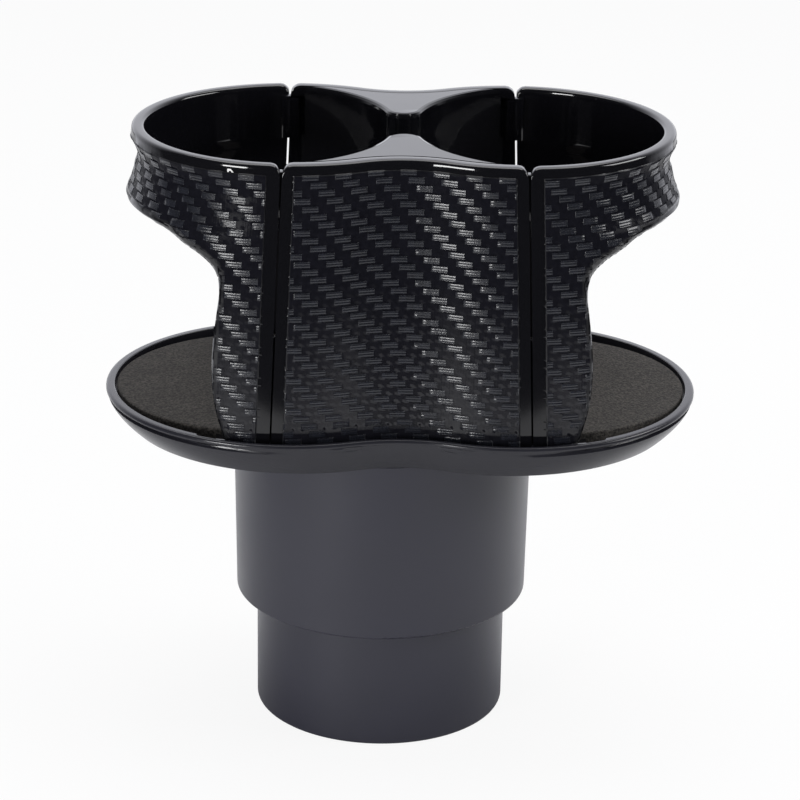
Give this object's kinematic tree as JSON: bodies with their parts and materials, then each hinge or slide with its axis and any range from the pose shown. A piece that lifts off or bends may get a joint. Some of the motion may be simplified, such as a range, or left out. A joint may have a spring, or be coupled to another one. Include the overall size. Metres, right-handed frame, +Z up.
{
  "type": "double car cup holder",
  "caption": "Double cup holder for a car: a stepped plug for the car's own cup well carries a turning oval tray with foam pads and two cup rings side by side.",
  "frame": {"origin": "centre of the plug's flat foot, on the swivel axis", "axes": "+Z up along the swivel axis, +X along the row of the two cups, +Y towards the rear panel"},
  "size_m": [0.159, 0.0998, 0.1648],
  "materials": {
    "drum_plastic": "satin moulded ABS",
    "gloss_plastic": "polished moulded ABS",
    "grained_plastic": "moulded twill grain with polished borders",
    "tray_plastic": "satin moulded ABS",
    "foam": "open-faced EVA foam",
    "zinc_steel": "zinc plated"
  },
  "bodies": {
    "base": {"base_cup": "drum_plastic", "swivel_plate": "gloss_plastic", "plate_screws": "zinc_steel", "pivot_washer": "zinc_steel", "pivot_screw": "zinc_steel"},
    "holder": {"tray": "tray_plastic", "pad_left": "foam", "pad_right": "foam", "pillar_front": "gloss_plastic", "pillar_rear": "gloss_plastic", "panel_front": "grained_plastic", "panel_rear": "grained_plastic", "pillar_screws": "zinc_steel", "arm_left": "grained_plastic", "arm_right": "grained_plastic"}
  },
  "joints": [
    {"name": "holder_swivel", "type": "hinge", "parent": "base", "child": "holder", "pos_m": [0, 0, 0.0833], "axis": [0, 0, 1], "continuous": true}
  ]
}
